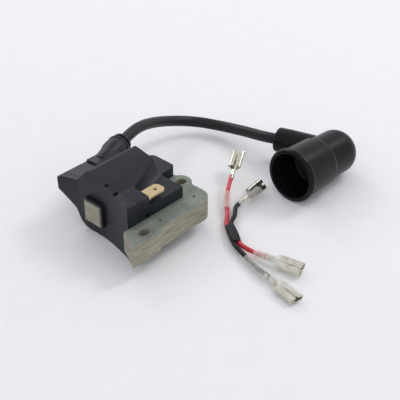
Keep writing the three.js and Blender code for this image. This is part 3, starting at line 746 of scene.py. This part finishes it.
def build_boot(material):
    b = BOOT
    place = facing(b["axis"], b["rim"])
    dome = []
    dome_high = b["neck_r"] * b["dome_flat"]
    for i in range(1, 15):
        a = (i / 14) * (math.pi / 2)
        dome.append((b["neck_r"] * math.cos(a), b["length"] - dome_high * (1 - math.sin(a))))
    dome[-1] = (0, b["length"])
    outside = rounded([
        (0, 0), (b["rim_r"] - 0.5, 0, 0.7), (b["rim_r"], 1.2, 0.8), (b["rim_r"], 2.2, 0.8),
        (b["cup_r"] + 0.1, 3.4, 1),
        (b["cup_r"] - 0.35, b["cup_length"] - 0.2, 0.25),
        (b["cup_r"] - 0.9, b["cup_length"] + 0.3, 0.3),
        (b["neck_r"] + 0.15, b["cup_length"] + 1.6, 1.2),
        (b["neck_r"], b["length"] - dome_high - 0.1),
    ], 4, closed=False) + dome
    shell = turned("plug_boot_shell", outside, 96, place)
    to_local = place.inverted()
    elbow = Vector((0, b["elbow"], 0))
    away = (to_local @ Vector(b["mouth"])) - elbow
    turn = Vector((0, 1, 0)).rotation_difference(away.normalized())
    branch = place @ Matrix.Translation(elbow) @ turn.to_matrix().to_4x4()
    reach = away.length
    inlet = turned("inlet", rounded([
        (0, 0), (b["inlet_r"] + 0.5, 0), (b["inlet_r"] + 0.35, reach - 7, 1),
        (b["inlet_r"], reach, 1.1), (3.6, reach, 0.5), (3, reach - 1.5), (0, reach - 1.5)],
        5, closed=False), 64, branch)
    boolean(shell, "UNION", inlet)
    junction = shell.modifiers.new("blend", "BEVEL")
    junction.width = 0.9 * MM
    junction.segments = 4
    junction.limit_method = "ANGLE"
    junction.angle_limit = math.radians(38)
    bake_modifiers(shell)
    bore = turned("bore", rounded([
        (0, -1), (b["rim_r"] - 2, -1), (b["rim_r"] - 2.4, 3, 3), (b["rim_r"] - 2.8, 16.2, 1),
        (b["bore_r"] + 0.8, 17, 0.8), (b["bore_r"], 18, 0.8), (b["bore_r"], b["bore_end"], 0.6),
        (0, b["bore_end"])], 4, closed=False), 96, place)
    deep, past = reach - b["lead_depth"], reach + 1
    lead_r = b["lead_r"]
    hole = turned("hole", [(0, deep), (lead_r, deep), (lead_r, past), (0, past)], 40, branch)
    boolean(shell, "DIFFERENCE", bore, hole)
    shade(shell, 38)
    return wired(shell, material, "plug_boot", "boot_rubber", "plug_boot")


def build_spring(material):
    place = facing(BOOT["axis"], BOOT["rim"])
    line = []
    count = SPRING["turns"] * SPRING["steps"]
    for i in range(count + 1):
        a = 2 * math.pi * i / SPRING["steps"]
        y = SPRING["from"] + SPRING["long"] * i / count
        line.append(place @ Vector((SPRING["r"] * math.cos(a), y, SPRING["r"] * math.sin(a))))
    ring = oval(SPRING["wire_r"], SPRING["wire_r"], 12)
    spring = loft("contact_spring", frames_along(line), [ring] * len(line))
    return wired(shade(spring), material, "plug_boot", "tinned_metal", "plug_contact_spring")


# ---------- kill lead ----------

# heading is where a wire's terminal points and roll how many degrees it is turned about that.
# covered is the part of the wire under its clear sleeve, and upto how far up the terminal the
# sleeve reaches, or 0 where it is pushed back along the wire.
SPLICE = ((38.4, 26.2, 2.4), (48.2, 19.4, 2.4))
SPLICE_HALF = (2.45, 1.95)
WIRES = {
    "red_long": {
        "heading": (-9.7, 17.4, 4.2), "roll": 0, "upto": 0,
        "covered": [(21.6, 43.6, 4.2), (23.4, 41.3, 3.7), (26.4, 37.9, 3.1), (28.9, 35.15, 2.75)],
        "route": [(16.7, 51.4, 5.8), (18.6, 48.1, 5.1), (20.8, 44.7, 4.4), (23.4, 41.3, 3.7),
                  (26.4, 37.9, 3.1), (29.4, 34.6, 2.7), (32.3, 31.4, 2.5), (34.1, 28.8, 2.4),
                  (35.7, 26.7, 2.4), (37.4, 25.5, 2.4)],
    },
    "black_short": {
        "heading": (-1.5, 14.2, 0.5), "roll": 50, "upto": 14,
        "covered": [(30.5, 41.6, 3.4), (30.55, 41.1, 3.35), (30.6, 40.7, 3.3)],
        "route": [(30.5, 41.6, 3.4), (30.8, 39.2, 3.1), (32.4, 36.8, 2.8), (34.5, 33.9, 2.5),
                  (35.7, 31, 2.4), (37.1, 28.6, 2.4), (38.7, 27.45, 2.4)],
    },
    "red_short": {
        "heading": (1, 0.17, 0.02), "roll": 40, "upto": 19,
        "covered": [(62.2, 19.3, 3), (60.4, 19.15, 2.85), (59.2, 19.1, 2.7)],
        "route": [(62.2, 19.3, 3), (59.2, 19.1, 2.7), (56, 19.1, 2.4), (53.4, 19.2, 2.4),
                  (51, 19.35, 2.4), (49.2, 20.15, 2.4)],
    },
    "black_long": {
        "heading": (0.984, -0.18, -0.02), "roll": 0, "upto": 19,
        "covered": [(71.6, 10.7, 2.6), (67.4, 11.6, 2.4), (63, 12.8, 2.4), (58.6, 14.1, 2.4)],
        "route": [(71.6, 10.7, 2.6), (67.4, 11.6, 2.4), (63, 12.8, 2.4), (58.6, 14.1, 2.4),
                  (54.4, 15.6, 2.4), (50.2, 17.05, 2.4), (47.9, 18.25, 2.4)],
    },
}
TERMINAL = {"barrel_r": 1.3, "neck": 9, "length": 19.5, "edge_x": 2, "curl_r": 1.05,
            "wall": 0.38, "lip": 0.55}
CORD_GAP = 0.3
SLEEVE = {"r": 1.9, "wall": 0.3, "wider": 1.8, "flatter": 0.15, "from": 5.6, "over": 2.6,
          "flare": 0.12, "rings": 5, "ring": 0.06, "step": 0.7, "around": 36}
SLEEVE_STATIONS = (11, 9, 7.4, 5.5, 3, 0.6)  # along the terminal, from the socket to the crimp
WIRE_STEP = 0.8
WIRE_IN_CRIMP = 2.4


def colour_of(wire):
    return wire.split("_")[0]


def terminal_frame(wire):
    route = WIRES[wire]["route"]
    end, after = Vector(route[0]), Vector(route[1])
    back = end + (end - after).normalized() * CORD_GAP
    place = facing(WIRES[wire]["heading"], back)
    return place @ Matrix.Rotation(math.radians(WIRES[wire]["roll"]), 4, "Y")


def band(cx, cz, radius, start, stop, wall, steps=14):
    """A bent strip of sheet seen on edge: an arc from start to stop, in degrees."""
    out = []
    inner = []
    for i in range(steps + 1):
        a = math.radians(start + (stop - start) * i / steps)
        out.append((cx + radius * math.cos(a), cz + radius * math.sin(a)))
        inner.append((cx + (radius - wall) * math.cos(a), cz + (radius - wall) * math.sin(a)))
    return out + inner[::-1]


def socket_section():
    t = TERMINAL
    edge, curl, wall, lip = t["edge_x"], t["curl_r"], t["wall"], t["lip"]
    right_out = band(edge, 0, curl, -90, 90, wall, 12)
    outer_right, inner_right = right_out[:13], right_out[13:]
    mirror = [(-x, z) for x, z in outer_right]
    mirror_in = [(-x, z) for x, z in inner_right]
    return (outer_right + [(lip, curl), (lip, curl - wall)] + inner_right
            + mirror_in[::-1] + [(-lip, curl - wall), (-lip, curl)] + mirror[::-1])


def build_receptacle(wire, material):
    """A folded sheet-metal socket with its neck, conductor crimp and insulation crimp."""
    name = f"{colour_of(wire)}_receptacle_{wire.split('_')[1]}"
    place = terminal_frame(wire)
    t = TERMINAL
    curl, wall, neck, length = t["curl_r"], t["wall"], t["neck"], t["length"]

    def stretch(sections, stations):
        frames = [place @ Matrix.Translation((0, y, 0)) for y in stations]
        return loft("bit", frames, sections)

    socket = socket_section()
    flared = [(x * 1.03, z * 1.06) for x, z in socket]
    pieces = [stretch([socket, socket, flared], [neck, length - 0.7, length])]
    grip = band(0, 0, t["barrel_r"], -250, 70, wall, 20)
    pinched = band(0, -0.15, t["barrel_r"] - 0.3, -262, 82, wall, 20)
    pieces.append(stretch([grip, grip], [0.1, 2.1]))
    pieces.append(stretch([pinched, pinched], [3.3, 5.9]))
    for y0, y1, w0, w1 in ((1.9, 3.5, 0.9, 0.8), (5.6, 7.6, 0.8, 1), (7.6, neck + 0.1, 1, 2.5)):
        low = -curl
        near, far = ([(-w, low), (w, low), (w, low + wall), (-w, low + wall)] for w in (w0, w1))
        pieces.append(stretch([near, far], [y0, y1]))
    pieces.append(stretch([oval(0.85, 0.6, 14), oval(0.8, 0.45, 14)], [2.2, 6.8]))
    dimple = [(0, 0.08), (0.75, 0.05), (0.85, 0), (0, 0)]
    turn = Matrix.Rotation(math.pi / 2, 4, "X")
    at = place @ Matrix.Translation((0, neck + 4.6, -curl + wall)) @ turn
    pieces.append(turned("dimple", dimple, 20, at))
    terminal = shade(joined(f"{name}_metal", pieces), 40)
    return wired(terminal, material, "kill_lead", "tinned_metal", name)


def sleeve_stations(wire):
    """Frames and half sizes of a clear sleeve, from its end on the wire to its other end."""
    data = WIRES[wire]
    s = SLEEVE
    sizes = []
    if not data["upto"]:
        line = smooth_line(data["covered"], s["step"])[::-1]
        for i in range(len(line)):
            along = i / (len(line) - 1)
            half = s["r"] + s["ring"] * math.cos(along * 2 * math.pi * s["rings"])
            sizes.append((half, half))
        return frames_along(line), sizes
    place = terminal_frame(wire)
    stations = (data["upto"] + 0.3, *SLEEVE_STATIONS)
    ahead = [place @ Vector((0, y, 0)) for y in stations]
    line = smooth_line([*ahead, *data["covered"][1:]], s["step"])[::-1]
    for point in line:
        y = (place.inverted() @ point).y
        wider = min(1, max(0, (y - s["from"]) / s["over"]))
        wider = wider * wider * (3 - 2 * wider)
        flare = s["flare"] if y > data["upto"] - 0.4 else 0
        sizes.append((s["r"] + s["wider"] * wider + flare,
                      s["r"] - s["flatter"] * wider + flare / 2))
    return frames_along(line), sizes


def build_sleeve(wire, material):
    colour, which = wire.split("_")
    places, sizes = sleeve_stations(wire)
    power = [2 + 0.8 * (wide > high + 0.3) for wide, high in sizes]
    wall, around = SLEEVE["wall"], SLEEVE["around"]
    outer = [oval(w, h, around, p) for (w, h), p in zip(sizes, power)]
    inner = [oval(w - wall, h - wall, around, p) for (w, h), p in zip(sizes, power)]
    tube = loft(f"sleeve_{wire}_tube", places + places[::-1] + places[:1],
                outer + inner[::-1] + outer[:1], caps=False)
    merge = tube.modifiers.new("close", "WELD")
    merge.merge_threshold = 0.001 * MM
    bake_modifiers(tube)
    shade(tube, 50)
    return wired(tube, material, f"sleeve_{wire}", "clear_pvc", f"clear_sleeve_{colour}_{which}")


def build_splice(material):
    a, b = (Vector(p) for p in SPLICE)
    past = (b - a) * 0.03
    wide, high = SPLICE_HALF
    line = smooth_line([a - past, a.lerp(b, 0.3), a.lerp(b, 0.7), b + past], 0.5)
    sections = []
    for i, point in enumerate(line):
        along = i / (len(line) - 1)
        shrink = 1 - 0.12 * abs(2 * along - 1) ** 3
        ring = []
        for x, z in oval(wide * shrink, high * shrink, 36, 2.3):
            waist = 1 - 0.16 * math.exp(-(x / 0.7) ** 2)
            pucker = 1 + 0.03 * noise.noise(Vector((x, along * 12, z)))
            ring.append((x * pucker, z * waist * pucker))
        sections.append(ring)
    splice = loft("splice_sleeve", frames_along(line), sections)
    return wired(shade(splice, 50), material, "kill_lead", "heat_shrink", "splice_heat_shrink")


def build_wire(colour, material):
    """One wire from crimp to crimp through the splice, its route reversed on the far side."""
    near, far = ("red_long", "red_short") if colour == "red" else ("black_short", "black_long")
    start = terminal_frame(near) @ Vector((0, WIRE_IN_CRIMP, 0))
    stop = terminal_frame(far) @ Vector((0, WIRE_IN_CRIMP, 0))
    side = 0.75 if colour == "red" else -0.75
    across = Vector((0.57, 0.82, 0)) * -side
    middle = [Vector(SPLICE[0]).lerp(Vector(SPLICE[1]), t) + across for t in (0.25, 0.75)]
    points = [start, *WIRES[near]["route"], *middle, *WIRES[far]["route"][::-1], stop]
    line = smooth_line(points, WIRE_STEP)
    curve = bpy.data.curves.new(f"{colour}_wire", "CURVE")
    curve.dimensions = "3D"
    spline = curve.splines.new("POLY")
    spline.points.add(len(line) - 1)
    for target, point in zip(spline.points, line):
        target.co = (*(point * MM), 1)
    curve.bevel_depth = WIRE_D / 2 * MM
    curve.bevel_resolution = 5
    curve.use_fill_caps = True
    wire = bpy.data.objects.new(f"{colour}_wire", curve)
    bpy.context.scene.collection.objects.link(wire)
    curve.materials.append(material)
    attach(wire, "kill_lead")
    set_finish(wire, f"{colour}_wire_pvc")
    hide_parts(f"{colour}_wire_long", f"{colour}_wire_short")


def build_kill_lead(materials):
    splice = build_splice(materials["heat_shrink"])
    for colour in ("red", "black"):
        pieces = [splice] if colour == "black" else []
        for wire in WIRES:
            if colour_of(wire) == colour:
                pieces.append(build_receptacle(wire, materials["tinned_metal"]))
                pieces.append(build_sleeve(wire, materials["clear_pvc"]))
        build_wire(colour, materials[f"{colour}_wire_pvc"])


def main():
    make_camera()
    make_studio()
    materials = make_materials()
    boot = build_boot(materials["boot_rubber"])
    spring = build_spring(materials["tinned_metal"])
    build_lead(materials["lead_rubber"])
    build_kill_lead(materials)
    build_core(materials["lamination_steel"])
    build_cover(materials["case_plastic"])
    build_case(materials["case_plastic"])
    build_grommet(materials["lead_rubber"])
    dress_cad_nodes(materials)


main()
